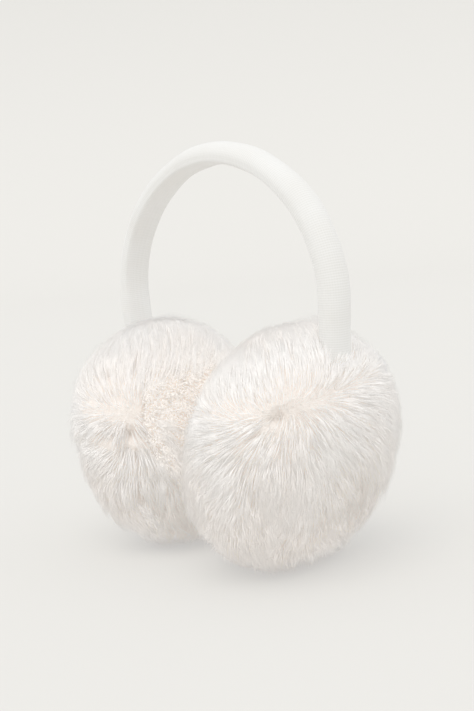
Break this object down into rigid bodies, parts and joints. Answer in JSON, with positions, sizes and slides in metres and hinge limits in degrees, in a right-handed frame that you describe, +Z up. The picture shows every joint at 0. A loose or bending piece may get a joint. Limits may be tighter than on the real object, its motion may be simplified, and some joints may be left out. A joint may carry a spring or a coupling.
{
  "type": "fur earmuffs",
  "caption": "Earmuffs: a padded fabric-covered arch headband with a large round fur puff and a short-pile ear panel at each end.",
  "frame": {"origin": "on the floor, midway between the puffs and midway across the band", "axes": "+X from the left ear's puff to the right ear's, +Y across the band, +Z up through the top of the arch"},
  "size_m": [0.1622, 0.106, 0.187],
  "materials": {
    "knit_cover": "cream ribbed knit stretched over padding",
    "long_fur": "long, soft off-white pile with faintly peach roots",
    "short_plush": "short curly peach-white plush"
  },
  "bodies": {
    "root": {"headband": "knit_cover", "fur_muff_left": "long_fur", "fur_muff_right": "long_fur", "ear_pad_left": "short_plush", "ear_pad_right": "short_plush"}
  },
  "joints": []
}
